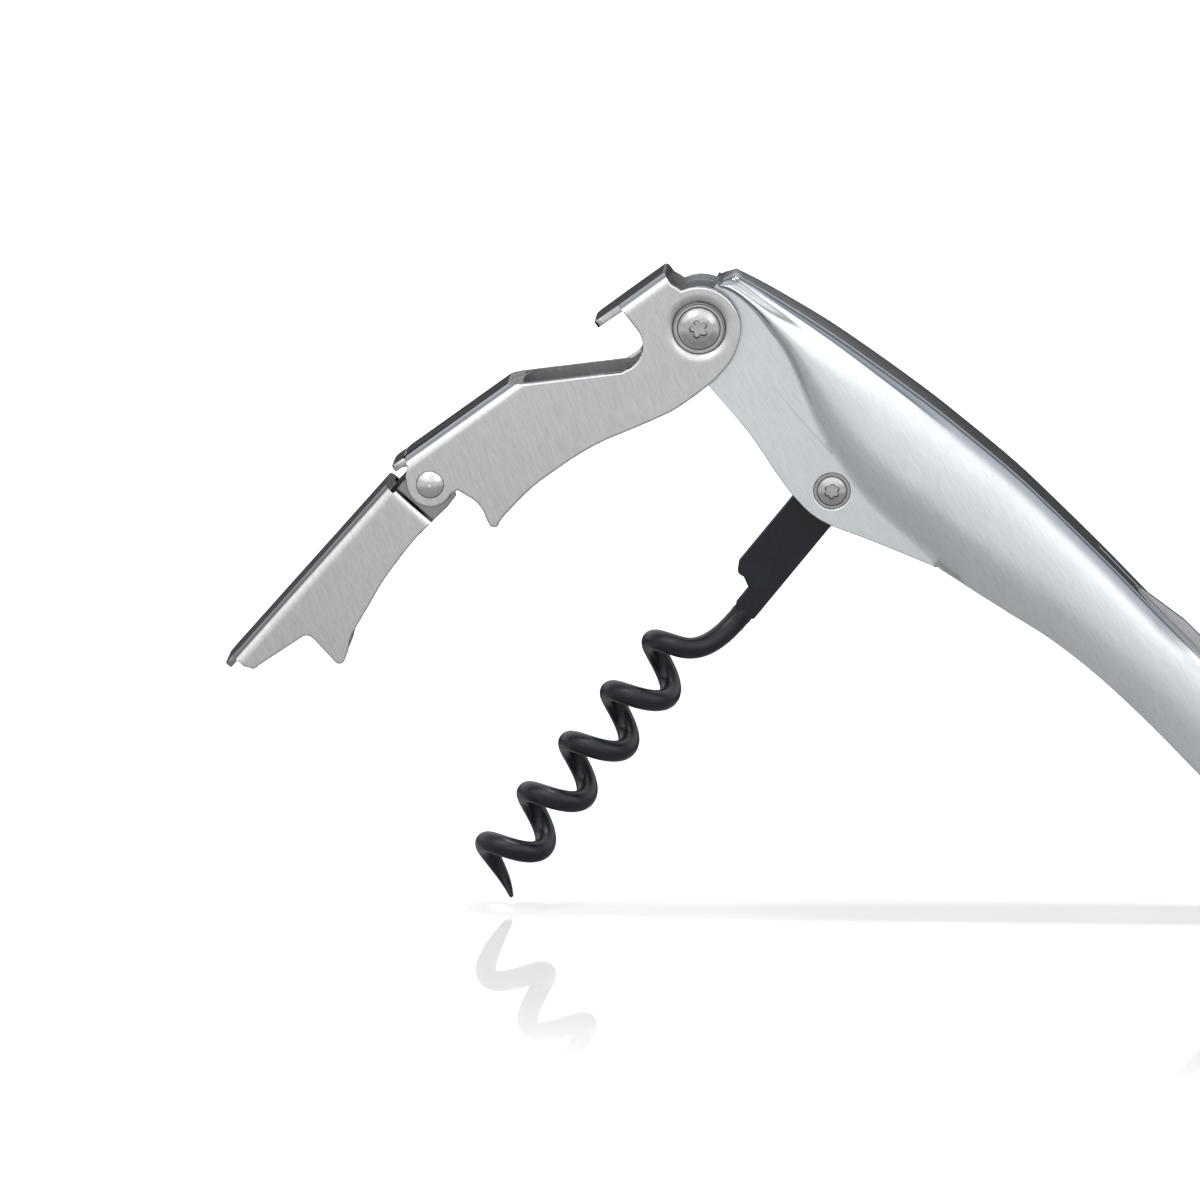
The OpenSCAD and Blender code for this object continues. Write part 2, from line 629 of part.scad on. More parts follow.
// Knife: a foil cutter with a toothed edge, folded into the back of the handle's rear half
knife_line = 171;
blade_back = 6.6;
blade_edge = 1;
blade_root_r = 4.2;
neck_edge = -2.4;
tooth_depth = 0.45;
function tooth_edge(from, to, level) = [for (i = [0:2 * tooth_count])
    [from + (to - from) * i / (2 * tooth_count), level - (i % 2 == 1 ? tooth_depth : 0)]];
blade_outline = concat(
    arc([0, 0], blade_root_r, 225, 20, 2 * corner_steps),
    [[blade_len * 0.14, neck_edge * 0.2], [blade_len * 0.2, neck_edge]],
    [[blade_len * 0.36, neck_edge]],
    tooth_edge(blade_len * 0.42, blade_len * 0.9, blade_edge),
    [[blade_len, -blade_edge], [blade_len * 0.97, -blade_back * 0.55], [blade_len * 0.88, -blade_back * 0.86],
     [blade_len * 0.72, -blade_back]],
    [[blade_len * 0.3, -blade_back * 0.97], [blade_len * 0.12, -blade_back * 0.9]]);
module knife_blade() {
    color(steel) knife_frame() difference() {
        slab(-blade_t / 2, blade_t / 2) polygon(blade_outline);
        pin_bar(knife_pin_r + run_gap, -over, over);
    }
}

// Worm: a flat tang and a round wire wound to a right-handed helix with a sharp point
turn_steps = 22;
wire_sides = 10;
bend_steps = 10;
neck_from = tang_len + wire_d / 2;
neck_to = tang_len + 1.4 * wire_d;
neck_y = tang_w / 2 - wire_d / 2 - skim;
taper_share = 0.45;
first_angle = 90;
last_angle = 360 * helix_turn_share;
function helix_point(a, r) = [helix_start + pitch * a / 360, -r * sin(a), -helix_shift + r * cos(a)];
function bezier(a, b, c, d, t) = a * pow(1 - t, 3) + b * 3 * t * pow(1 - t, 2) + c * 3 * t * t * (1 - t)
    + d * pow(t, 3);
// The wire's radius thins over the last part of a turn, and its outer side keeps to the helix's outside
function thin(a) = let (s = max(0, (a - last_angle + 360 * taper_share) / (360 * taper_share)))
    wire_d / 2 + (point_r - wire_d / 2) * s * s;
helix_angles = [for (i = [0:turn_steps * (last_angle - first_angle) / 360])
    first_angle + (last_angle - first_angle) * i / floor(turn_steps * (last_angle - first_angle) / 360)];
helix_line = [for (a = helix_angles) helix_point(a, helix_d / 2 - thin(a))];
helix_radii = [for (a = helix_angles) thin(a)];
bend_end = helix_line[0];
bend_dir = unit([pitch / (2 * PI), 0, -helix_r]);
bend_start = [neck_to, 0, neck_y];
bend_line = [for (i = [0:bend_steps - 1]) bezier(bend_start, bend_start + [1.1 * wire_d, 0, 0],
    bend_end - 1.05 * wire_d * bend_dir, bend_end, i / bend_steps)];
point_end = helix_line[len(helix_line) - 1];
point_dir = unit(point_end - helix_line[len(helix_line) - 2]);
point_turns = [30, 60, 84];
wire_line = concat([[neck_from, 0, neck_y]], bend_line, helix_line,
    [for (a = point_turns) point_end + point_r * sin(a) * point_dir]);
wire_radii = concat([0.32 * wire_d], [for (p = bend_line) wire_d / 2], helix_radii,
    [for (a = point_turns) point_r * cos(a)]);

// Rings square to the wire, each turned as little as possible from the one before
function tangent(p, i) = unit(p[min(i + 1, len(p) - 1)] - p[max(i - 1, 0)]);
function carried(n, t) = unit(n - (n * t) * t);
function normals(p, i, n, done) = i == len(p) ? done : let (next = carried(n, tangent(p, i)))
    normals(p, i + 1, next, concat(done, [next]));
module tube(p, radii, sides) {
    ns = normals(p, 0, [0, 1, 0], []);
    ring_loft([for (i = [0:len(p) - 1]) let (n = ns[i], b = cross(tangent(p, i), n))
        [for (k = [0:sides - 1]) let (a = 360 * k / sides) p[i] + radii[i] * (cos(a) * n + sin(a) * b)]]);
}

// Least gap between the wire's neighbouring turns
turn_gap = min([for (i = [0:len(helix_line) - 1], j = [i + floor(turn_steps / 2):len(helix_line) - 1])
    norm(helix_line[i] - helix_line[j])]) - wire_d;
echo(least_gap_between_turns = turn_gap);

tang_outline = concat(
    arc([0, 0], tang_w / 2, 90, 270, 2 * corner_steps),
    [[tang_len - sheet, -tang_w / 2]],
    arc([tang_len - wire_d / 6, -tang_w / 2 + wire_d / 3], wire_d / 5, -60, 20, 2),
    [[tang_len, neck_y - wire_d], [tang_len + wire_d / 4, neck_y - wire_d / 2],
     [neck_to - wire_d / 4, neck_y - wire_d / 2], [neck_to, neck_y - wire_d / 4],
     [neck_to, neck_y + wire_d / 4], [neck_to - wire_d / 4, tang_w / 2]]);
module worm() {
    color(coating) worm_frame() difference() {
        union() {
            slab(-tang_t / 2, tang_t / 2) polygon(tang_outline);
            tube(wire_line, wire_radii, wire_sides);
        }
        pin_bar(worm_pin_r + run_gap, -tang_t, tang_t);
    }
}

handle_shell();
main_pivot_barrel();
main_pivot_screw();
main_pivot_sleeve();
worm_pivot_barrel();
worm_pivot_screw();
worm_spacer_near();
worm_spacer_far();
knife_rivet();
knife_spacer_near();
knife_spacer_far();
knife_stop_pin();
upper_lever();
hinge_rivet();
hinge_sleeve();
lower_lever();
worm();
knife_blade();
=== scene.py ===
"""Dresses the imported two-stage lever corkscrew: brushed steel, turned pins, a coated worm and a studio."""
import bisect
import json
import math

import bmesh
import bpy
from mathutils import Matrix, Vector


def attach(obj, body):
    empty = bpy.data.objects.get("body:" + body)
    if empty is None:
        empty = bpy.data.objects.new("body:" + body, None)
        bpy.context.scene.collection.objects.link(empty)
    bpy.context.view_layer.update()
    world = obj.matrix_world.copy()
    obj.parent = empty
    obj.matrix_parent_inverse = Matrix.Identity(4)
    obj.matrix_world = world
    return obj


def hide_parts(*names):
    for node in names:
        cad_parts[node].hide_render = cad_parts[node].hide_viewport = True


bl_info = {
    "name": "Two-Stage Lever Corkscrew",
    "version": (1, 0, 0),
    "blender": (4, 5, 0),
    "location": "3D View > Sidebar > Corkscrew",
    "description": "Builds the steel levers, the handle, the pins, the worm and the studio",
    "category": "Object",
}

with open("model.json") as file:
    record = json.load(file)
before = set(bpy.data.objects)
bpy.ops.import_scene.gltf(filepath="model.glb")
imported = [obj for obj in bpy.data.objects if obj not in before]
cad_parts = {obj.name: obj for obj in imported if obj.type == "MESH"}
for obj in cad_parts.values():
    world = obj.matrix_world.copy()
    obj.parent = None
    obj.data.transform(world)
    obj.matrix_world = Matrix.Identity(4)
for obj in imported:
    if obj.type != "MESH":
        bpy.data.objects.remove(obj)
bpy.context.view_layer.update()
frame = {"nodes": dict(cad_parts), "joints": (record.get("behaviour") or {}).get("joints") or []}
MM = 0.001


def pivot(joint):
    """A joint's place in the frame, in metres."""
    return Vector(next(j["pos_m"] for j in frame["joints"] if j["name"] == joint))


MAIN = pivot("lever_fold")
WORM = pivot("worm_fold")
HINGE = pivot("tip_fold")
KNIFE = pivot("knife_fold")

# Slopes in the side view, in degrees: the levers rise to the right, and the handle falls
UPPER_RISE = 36
LOWER_RISE = 48.6
HANDLE_FALL = 35
# How far a normal points across, from where a lever's spine ends to where its side begins
LEVER_BEND = (0.45, 0.80)
# A faceted node has its flats joined again where they turn by less than this, in degrees
FACET_TURN = 0.04
# The worm's flat tang and neck lie within this distance of its pivot
SHANK = 24 * MM


# Settings
class CORK_PG_steel(bpy.types.PropertyGroup):
    """Colours and grain of the pressed sheet."""
    lever: bpy.props.FloatVectorProperty(
        name="Lever colour", description="Colour of the levers' brushed sides", subtype="COLOR", size=3,
        default=(0.50, 0.51, 0.52), min=0.0, max=1.0)
    handle: bpy.props.FloatVectorProperty(
        name="Handle colour", description="Colour of the handle's brushed sides", subtype="COLOR", size=3,
        default=(0.605, 0.635, 0.655), min=0.0, max=1.0)
    # Painted shade: the spines take this darker colour for the dark surroundings that they mirror
    spine: bpy.props.FloatVectorProperty(
        name="Spine colour", description="Colour of the polished spines, darkened as painted shade", subtype="COLOR", size=3,
        default=(0.25, 0.275, 0.31), min=0.0, max=1.0)
    roughness: bpy.props.FloatProperty(
        name="Roughness", description="Roughness of the brushed sides", default=0.33, min=0.05, max=1.0)
    grain: bpy.props.FloatProperty(
        name="Grain width", description="Width of one brushed line", subtype="DISTANCE", unit="LENGTH",
        default=0.11 * MM, min=0.01 * MM, max=2 * MM)
    # Painted shade: the cut edges take this dark colour where they turn from the side
    painted_edge_shade: bpy.props.FloatVectorProperty(
        name="Edge colour", description="Colour of the sheet's cut edges, darkened as painted shade", subtype="COLOR", size=3,
        default=(0.055, 0.06, 0.068), min=0.0, max=1.0)
    edge: bpy.props.FloatProperty(
        name="Edge round", description="Rounding of the cut edges", subtype="DISTANCE", unit="LENGTH",
        default=0.28 * MM, min=0.0, max=0.4 * MM)


class CORK_PG_worm(bpy.types.PropertyGroup):
    """Colour of the worm's coating."""
    colour: bpy.props.FloatVectorProperty(
        name="Coating", description="Colour of the coating", subtype="COLOR", size=3,
        default=(0.006, 0.0085, 0.013), min=0.0, max=1.0)
    roughness: bpy.props.FloatProperty(
        name="Roughness", description="Roughness of the coating", default=0.33, min=0.05, max=1.0)


class CORK_PG_stage(bpy.types.PropertyGroup):
    """Floor and camera."""
    azimuth: bpy.props.FloatProperty(
        name="Azimuth", description="Camera's turn round the object", subtype="ANGLE", unit="ROTATION",
        default=math.radians(2.5))
    elevation: bpy.props.FloatProperty(
        name="Elevation", description="Camera's height above the horizon", subtype="ANGLE", unit="ROTATION",
        default=math.radians(11))
    view_height: bpy.props.FloatProperty(
        name="View height", description="Height that the picture covers", subtype="DISTANCE", unit="LENGTH",
        default=160 * MM, min=10 * MM, max=1.0)
    floor_drop: bpy.props.FloatProperty(
        name="Floor drop", description="Gap between the worm's point and the floor", subtype="DISTANCE",
        unit="LENGTH", default=1.2 * MM, min=0.0, max=10 * MM)


# Node helpers
def empty_tree(holder):
    """The node tree of a material or a world, switched on and emptied."""
    holder.use_nodes = True
    holder.node_tree.nodes.clear()
    return holder.node_tree


def new_material(name):
    """An empty material with a principled shader."""
    material = bpy.data.materials.new(name)
    tree = empty_tree(material)
    shader = tree.nodes.new("ShaderNodeBsdfPrincipled")
    node(tree, "ShaderNodeOutputMaterial", {"Surface": shader.outputs["BSDF"]})
    return material, tree, shader


def node(tree, kind, inputs=None, **settings):
    """A node with its settings and inputs; an input is a value or another node's socket."""
    made = tree.nodes.new(kind)
    for key, value in settings.items():
        setattr(made, key, value)
    for key, value in (inputs or {}).items():
        if isinstance(value, bpy.types.NodeSocket):
            tree.links.new(value, made.inputs[key])
        else:
            made.inputs[key].default_value = value
    return made


def maths(tree, operation, a, b=0.0):
    """The result socket of one math node."""
    return node(tree, "ShaderNodeMath", {0: a, 1: b}, operation=operation).outputs[0]


def inverse(tree, value):
    """One less a value."""
    return maths(tree, "SUBTRACT", 1.0, value)


def ramp(tree, value, low, high, to_low=0.0, to_high=1.0):
    """A smooth change from to_low to to_high while value goes from low to high."""
    return node(tree, "ShaderNodeMapRange", {"Value": value, "From Min": low, "From Max": high,
                "To Min": to_low, "To Max": to_high}, interpolation_type="SMOOTHSTEP").outputs["Result"]


def blend_colour(tree, factor, a, b):
    """Mixes two colours."""
    made = node(tree, "ShaderNodeMix", data_type="RGBA")
    for key, value in (("Factor", factor), ("A", a), ("B", b)):
        socket = [s for s in made.inputs if s.name == key and s.enabled][0]
        if isinstance(value, bpy.types.NodeSocket):
            tree.links.new(value, socket)
        else:
            socket.default_value = value
    return [s for s in made.outputs if s.enabled][0]


def streaks(tree, position, turn, length, width):
    """Noise drawn out along a line in the side view that falls by turn degrees to the right."""
    mapped = node(tree, "ShaderNodeMapping", {
        "Vector": position, "Rotation": (0.0, -math.radians(turn), 0.0)}, vector_type="POINT")
    scaled = node(tree, "ShaderNodeMapping", {
        "Vector": mapped.outputs[0], "Scale": (1 / length, 0.2 / width, 1 / width)}, vector_type="POINT")
    noise = node(tree, "ShaderNodeTexNoise", {"Vector": scaled.outputs[0], "Scale": 1.0, "Detail": 3.0,
                 "Roughness": 0.62})
    return noise.outputs["Fac"]


def contact_shade(tree, reach, least):
    """A factor that falls to least in the seams and corners where two faces come within reach."""
    seam = node(tree, "ShaderNodeAmbientOcclusion", {"Distance": reach}, samples=8)
    return ramp(tree, seam.outputs["AO"], 0.42, 0.92, least, 1.0)


def from_axis(tree, position, centre):
    """Distance from the line across the object through a pivot."""
    offset = node(tree, "ShaderNodeVectorMath", {0: position, 1: (-centre.x, 0, -centre.z)}, operation="ADD")
    flat = node(tree, "ShaderNodeVectorMath", {0: offset.outputs[0], 1: (1, 0, 1)}, operation="MULTIPLY")
    return node(tree, "ShaderNodeVectorMath", {0: flat.outputs[0]}, operation="LENGTH").outputs["Value"]


def crease_masks(tree):
    """The handle's side beside the grey painted shade strip on its crease, and the painted dark line ending
    it.
    """
    depth = node(tree, "ShaderNodeAttribute", attribute_name="crease").outputs["Fac"]
    soft = node(tree, "ShaderNodeAttribute", attribute_name="soft").outputs["Fac"]
    firm = inverse(tree, soft)
    side = maths(tree, "ADD", maths(tree, "MULTIPLY", ramp(tree, depth, 0.95, 1.3), firm),
                 maths(tree, "MULTIPLY", ramp(tree, depth, 0.15, 1.9), soft))
    away = maths(tree, "ABSOLUTE", maths(tree, "SUBTRACT", depth, 1.0))
    dark = maths(tree, "MULTIPLY", ramp(tree, away, 0.04, 0.20, 0.35, 0.0), firm)
    return side, inverse(tree, dark)


def brushed_steel(name, colour, side_turn, spine_turn, settings, contrast=0.10, painted_edge_shade=False, crease=False,
                  recess=0.0, dish=0.0, bend=(0.12, 0.42)):
    """Brushed sheet: hairlines on the sides, polished lines along the spine where the sheet is bent.

    The turns are those of the lines, in degrees. The spines take a darker colour, painted shade for the dark
    surroundings that they mirror, and seams and corners get painted shade. The edge flag makes the material
    for the cut edges, painted dark as painted shade where they turn from the side. Crease adds painted shade
    along the handle's crease, a grey strip and a dark line that ends it; recess is how far out a face has to
    lie to be lit in full, with painted shade further in; and dish is the radius of a pressed dish.
    """
    material, tree, shader = new_material(name)
    place = node(tree, "ShaderNodeTexCoord")
    parts = node(tree, "ShaderNodeSeparateXYZ", {"Vector": place.outputs["Normal"]})
    across = maths(tree, "ABSOLUTE", parts.outputs["Y"])
    facing = ramp(tree, across, 0.78, 0.95) if painted_edge_shade else ramp(tree, across, *bend)
    matt = ramp(tree, across, 0.60, 0.92)
    fine = streaks(tree, place.outputs["Object"], side_turn, 2.0 * MM, settings.grain)
    long = streaks(tree, place.outputs["Object"], side_turn + 4, 4 * MM, 2 * settings.grain)
    cloud = node(tree, "ShaderNodeTexNoise", {"Vector": place.outputs["Object"], "Scale": 90.0,
                 "Detail": 2.0}).outputs["Fac"]
    spine = streaks(tree, place.outputs["Object"], spine_turn, 14 * MM, 0.22 * MM)
    side = maths(tree, "ADD", maths(tree, "MULTIPLY", fine, 0.72), maths(tree, "MULTIPLY", long, 0.28))
    lines = maths(tree, "ADD", maths(tree, "MULTIPLY", side, facing),
                  maths(tree, "MULTIPLY", spine, inverse(tree, facing)))
    tone = maths(tree, "ADD", ramp(tree, lines, 0.36, 0.64, 1 - contrast, 1 + contrast),
                 ramp(tree, cloud, 0.3, 0.7, -0.015, 0.015))
    shade = maths(tree, "MULTIPLY", tone, contact_shade(tree, 0.32 * MM, 0.2))
    # Painted shade along the handle's crease: the strip takes the spine colour, darker still, and a dark
    # line ends it
    if crease:
        beside, line = crease_masks(tree)
        strip = maths(tree, "MULTIPLY", facing, inverse(tree, beside))
        shade = maths(tree, "MULTIPLY", maths(tree, "MULTIPLY", shade, line),
                      inverse(tree, maths(tree, "MULTIPLY", strip, 0.38)))
        facing = maths(tree, "MULTIPLY", facing, beside)
    # Painted shade: faces that lie further in than recess, such as the stepped-in ears and inner sides, are
    # darker
    if recess:
        point = node(tree, "ShaderNodeSeparateXYZ", {"Vector": place.outputs["Object"]})
        outside = maths(tree, "ABSOLUTE", point.outputs["Y"])
        shade = maths(tree, "MULTIPLY", shade, ramp(tree, outside, recess - 0.3 * MM, recess, 0.55, 1.0))
    # Painted shade: faces that turn from the side take the spine colour, or on the edge material the edge
    # colour
    base = blend_colour(tree, facing, (*(settings.painted_edge_shade if painted_edge_shade else settings.spine), 1.0), (*colour, 1.0))
    toned = node(tree, "ShaderNodeVectorMath", {0: base, "Scale": shade}, operation="SCALE")
    tree.links.new(toned.outputs[0], shader.inputs["Base Color"])
    rough = maths(tree, "ADD", ramp(tree, matt, 0, 1, 0.11, settings.roughness),
                  ramp(tree, lines, 0.2, 0.8, -0.03, 0.04))
    tree.links.new(rough, shader.inputs["Roughness"])
    bump = node(tree, "ShaderNodeBump", {"Height": lines, "Strength": 0.10, "Distance": 0.01 * MM})
    if dish:
        wall = ramp(tree, from_axis(tree, place.outputs["Object"], MAIN), 0.74 * dish, dish)
        bump = node(tree, "ShaderNodeBump", {"Height": wall, "Strength": 1.0, "Distance": 0.06 * MM,
                    "Normal": bump.outputs[0]})
    tree.links.new(bump.outputs[0], shader.inputs["Normal"])
    shader.inputs["Metallic"].default_value = 1.0
    return material


def turned_steel(name, centre, colour, roughness, shade_ring=0.0, crown=0.0):
    """Turned pin steel with fine rings round its axis and a raised middle.

    Its sides, its seams and a ring at the groove near its edge are darkened as painted shade.
    """
    material, tree, shader = new_material(name)
    place = node(tree, "ShaderNodeTexCoord")
    parts = node(tree, "ShaderNodeSeparateXYZ", {"Vector": place.outputs["Normal"]})
    # Painted shade: faces turned away from the side view are darker
    wall = ramp(tree, maths(tree, "ABSOLUTE", parts.outputs["Y"]), 0.30, 0.80, 0.30, 1.0)
    radius = from_axis(tree, place.outputs["Object"], centre)
    rings = node(tree, "ShaderNodeTexNoise", {"W": radius, "Scale": 9000.0, "Detail": 2.0},
                 noise_dimensions="1D").outputs["Fac"]
    blotch = node(tree, "ShaderNodeTexNoise", {"Vector": place.outputs["Object"], "Scale": 900.0,
                  "Detail": 3.0}).outputs["Fac"]
    tone = maths(tree, "MULTIPLY", ramp(tree, rings, 0.3, 0.7, 0.88, 1.08),
                 ramp(tree, blotch, 0.3, 0.7, 0.92, 1.05))
    # Painted shade: a dark ring where the head's groove lies
    away = maths(tree, "ABSOLUTE", maths(tree, "SUBTRACT", radius, shade_ring))
    cut = maths(tree, "MULTIPLY", wall, ramp(tree, away, 0.03 * MM, 0.13 * MM, 0.25 if shade_ring else 1.0, 1.0))
    shade = maths(tree, "MULTIPLY", maths(tree, "MULTIPLY", tone, cut), contact_shade(tree, 0.35 * MM, 0.12))
    toned = node(tree, "ShaderNodeVectorMath", {0: colour, "Scale": shade}, operation="SCALE")
    tree.links.new(toned.outputs[0], shader.inputs["Base Color"])
    rough = ramp(tree, rings, 0.2, 0.8, roughness - 0.05, roughness + 0.08)
    tree.links.new(rough, shader.inputs["Roughness"])
    bump = node(tree, "ShaderNodeBump", {"Height": rings, "Strength": 0.15, "Distance": 0.01 * MM})
    if crown:
        rise = ramp(tree, radius, 0.75 * crown, 1.1 * crown, 1.0, 0.0)
        bump = node(tree, "ShaderNodeBump", {"Height": rise, "Strength": 1.0, "Distance": 0.16 * MM,
                    "Normal": bump.outputs[0]})
    tree.links.new(bump.outputs[0], shader.inputs["Normal"])
    shader.inputs["Metallic"].default_value = 1.0
    return material


def worm_coating(name, settings):
    """Satin low-friction coating, near black."""
    material, tree, shader = new_material(name)
    place = node(tree, "ShaderNodeTexCoord")
    fine = node(tree, "ShaderNodeTexNoise", {"Vector": place.outputs["Object"], "Scale": 2600.0,
                "Detail": 4.0, "Roughness": 0.6}).outputs["Fac"]
    broad = node(tree, "ShaderNodeTexNoise", {"Vector": place.outputs["Object"], "Scale": 260.0,
                 "Detail": 3.0}).outputs["Fac"]
    tone = maths(tree, "ADD", ramp(tree, fine, 0.3, 0.7, 0.8, 1.25), ramp(tree, broad, 0.3, 0.7, -0.1, 0.2))
    toned = node(tree, "ShaderNodeVectorMath", {0: (*settings.colour,), "Scale": tone}, operation="SCALE")
    tree.links.new(toned.outputs[0], shader.inputs["Base Color"])
    rough = maths(tree, "ADD", ramp(tree, fine, 0.2, 0.8, -0.05, 0.06),
                  ramp(tree, broad, 0.3, 0.7, settings.roughness - 0.03, settings.roughness + 0.05))
    tree.links.new(rough, shader.inputs["Roughness"])
    bump = node(tree, "ShaderNodeBump", {"Height": fine, "Strength": 0.12, "Distance": 0.02 * MM})
    tree.links.new(bump.outputs[0], shader.inputs["Normal"])
    shader.inputs["Specular IOR Level"].default_value = 0.3
    return material


def floor_white():
    """A white floor that keeps the part's shadow, mirrors it weakly in front and looks dark in the steel."""
    material = bpy.data.materials.new("Floor white")
    tree = empty_tree(material)
    path = node(tree, "ShaderNodeLightPath")
    seen, mirrored = path.outputs["Is Camera Ray"], path.outputs["Is Glossy Ray"]
    place = node(tree, "ShaderNodeTexCoord")
    reach = node(tree, "ShaderNodeVectorMath", {0: place.outputs["Object"]}, operation="LENGTH")
    reach = reach.outputs["Value"]
    parts = node(tree, "ShaderNodeSeparateXYZ", {"Vector": place.outputs["Object"]})
    behind = ramp(tree, parts.outputs["Y"], 0.03, 0.10)
    # What the camera sees glows to white away from the part, with painted light on the left that washes out
    # the levers' shadow and a little less glow on the right as painted shade; what the steel mirrors glows
    # only in front of it
    white = maths(tree, "ADD", ramp(tree, reach, 0.12, 0.40, 0.34, 1.0),
                  ramp(tree, parts.outputs["X"], -0.055, 0.012, 0.15, -0.03))
    in_steel = maths(tree, "MULTIPLY", ramp(tree, reach, 0.10, 0.42, 0.0, 0.64),
                     inverse(tree, maths(tree, "MULTIPLY", behind, 0.92)))
    glow = maths(tree, "ADD", maths(tree, "MULTIPLY", seen, white),
                 maths(tree, "MULTIPLY", mirrored, in_steel))
    card = maths(tree, "SUBTRACT", 0.62, maths(tree, "MULTIPLY", mirrored,
                 maths(tree, "ADD", 0.23, maths(tree, "MULTIPLY", behind, 0.35))))
    tint = node(tree, "ShaderNodeCombineXYZ", {0: card, 1: card, 2: card})
    matt = node(tree, "ShaderNodeBsdfDiffuse", {"Color": tint.outputs[0]})
    light = node(tree, "ShaderNodeEmission", {"Color": (1, 1, 1, 1), "Strength": glow})
    both = node(tree, "ShaderNodeAddShader", {0: matt.outputs[0], 1: light.outputs[0]})
    gloss = node(tree, "ShaderNodeBsdfGlossy", {"Color": (1, 1, 1, 1), "Roughness": 0.03})
    mirror = maths(tree, "MULTIPLY", ramp(tree, parts.outputs["Y"], -0.13, -0.04, 0.0, 0.40),
                   ramp(tree, parts.outputs["Y"], -0.008, -0.004, 1.0, 0.15))
    mirror = maths(tree, "MULTIPLY", mirror, seen)
    mixed = node(tree, "ShaderNodeMixShader", {0: mirror, 1: both.outputs[0], 2: gloss.outputs[0]})
    node(tree, "ShaderNodeOutputMaterial", {"Surface": mixed.outputs[0]})
    return material


# Mesh helpers
def finish_mesh(bm, name, body, nodes, material, painted_edge_shade=None):
    """Turns a bmesh into a piece that rides on its body and stands for its nodes."""
    mesh = bpy.data.meshes.new(name)
    bm.to_mesh(mesh)
    bm.free()
    mesh.materials.clear()
    mesh.materials.append(material)
    if painted_edge_shade:
        mesh.materials.append(painted_edge_shade)
    piece = bpy.data.objects.new(name, mesh)
    weights = piece.modifiers.new("Weighted normals", "WEIGHTED_NORMAL")
    weights.mode = "FACE_AREA"
    weights.keep_sharp = True
    bpy.context.scene.collection.objects.link(piece)
    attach(piece, body)
    if nodes:
        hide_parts(*nodes)
    return piece


def mark_sharp(bm, angle):
    """Smooth faces, with edges left sharp where the surface turns by more than angle degrees."""
    for face in bm.faces:
        face.smooth = True
    limit = math.radians(angle)
    for edge in bm.edges:
        edge.smooth = not (edge.is_manifold and edge.calc_face_angle(0.0) > limit)


def trim_bend(bm, up):
    """Draws the corners of the lower lever's ears in to the rounding of its bend."""
    radius, top, half = 1.8 * MM, 4.34 * MM, 6.1 * MM
    for vert in bm.verts:
        over = (vert.co - HINGE).dot(up) - (top - radius)
        if 0 < over < radius and abs(vert.co.y) > half - radius:
            widest = half - radius + math.sqrt(radius * radius - over * over)
            vert.co.y = max(min(vert.co.y, widest), -widest)


def on_shoulder(edge):
    """True for an edge where the lower lever's bend runs into its ears."""
    reach, above = 10 * MM, 2.3 * MM
    up = spine_up(LOWER_RISE)
    for vert in edge.verts:
        if (vert.co - HINGE).length < reach and (vert.co - HINGE).dot(up) > above:
            return True
    return False


def at_front(edge):
    """True for an edge in the handle's narrow front, where the pressing is too tight for a rounded edge."""
    front = 12 * MM
    return min(along_handle(vert.co) for vert in edge.verts) < front


def outer_edge(edge, up):
    """True for an edge of a face that is seen from the side or, along the spine, from above."""
    aligned = 0.9
    for face in edge.link_faces:
        if abs(face.normal.y) > aligned and face.normal.y * face.calc_center_median().y > 0:
            return True
        if face.normal.dot(up) > aligned:
            return True
    return False


def drop_doubled(bm):
    """Removes faces that lie back to back on the same corners."""
    places = {}
    for face in bm.faces:
        places.setdefault(frozenset(face.verts), []).append(face)
    doubled = [face for faces in places.values() if len(faces) > 1 for face in faces]
    bmesh.ops.delete(bm, geom=doubled, context="FACES")


def sort_faces(bm):
    """Puts the faces in the order of their corners, because welding leaves them in any order."""
    bm.verts.index_update()
    corners = {face: sorted(vert.index for vert in face.verts) for face in bm.faces}
    rank = {face: place for place, face in enumerate(sorted(bm.faces, key=corners.get))}
    bm.faces.sort(key=rank.get)
    bm.faces.index_update()


def welded(node_name, edge=0.0, angle=60, flat=0.4, smooth=None, up=None, keep=None):
    """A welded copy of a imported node, its flats joined again and its sharp edges rounded.

    A flat turns by less than flat degrees, a sharp edge by more than angle degrees. Where up is given, only
    the outer edges are rounded, and none that keep picks out. Shading is smooth up to smooth degrees.
    """
    sliver = 0.004 * MM
    bm = bmesh.new()
    bm.from_mesh(frame["nodes"][node_name].data)
    bmesh.ops.remove_doubles(bm, verts=bm.verts, dist=0.002 * MM)
    if node_name == "lower_lever":
        trim_bend(bm, spine_up(LOWER_RISE))
    bmesh.ops.dissolve_limit(bm, angle_limit=math.radians(flat), verts=bm.verts, edges=bm.edges,
                             use_dissolve_boundaries=False)
    if edge > 0:
        limit = math.radians(angle)
        sharp = [e for e in bm.edges if e.is_manifold and e.calc_face_angle(0.0) > limit]
        if up:
            sharp = [e for e in sharp if outer_edge(e, up)]
        if keep:
            sharp = [e for e in sharp if not keep(e)]
        bmesh.ops.bevel(bm, geom=sharp, offset=edge, segments=2, profile=0.5, affect="EDGES", material=1,
                        clamp_overlap=False)
        bmesh.ops.remove_doubles(bm, verts=bm.verts, dist=sliver)
        bmesh.ops.dissolve_degenerate(bm, edges=bm.edges, dist=sliver)
        drop_doubled(bm)
    mark_sharp(bm, angle if smooth is None else smooth)
    return bm


def spine_up(turn):
    """The direction that a lever's spine faces, for a lever that rises by turn degrees to the right."""
    return Vector((-math.sin(math.radians(turn)), 0, math.cos(math.radians(turn))))


def along_handle(point):
    """Distance from the main pivot along the handle."""
    fall = math.radians(HANDLE_FALL)
    return (point - MAIN).dot(Vector((math.cos(fall), 0, -math.sin(fall))))


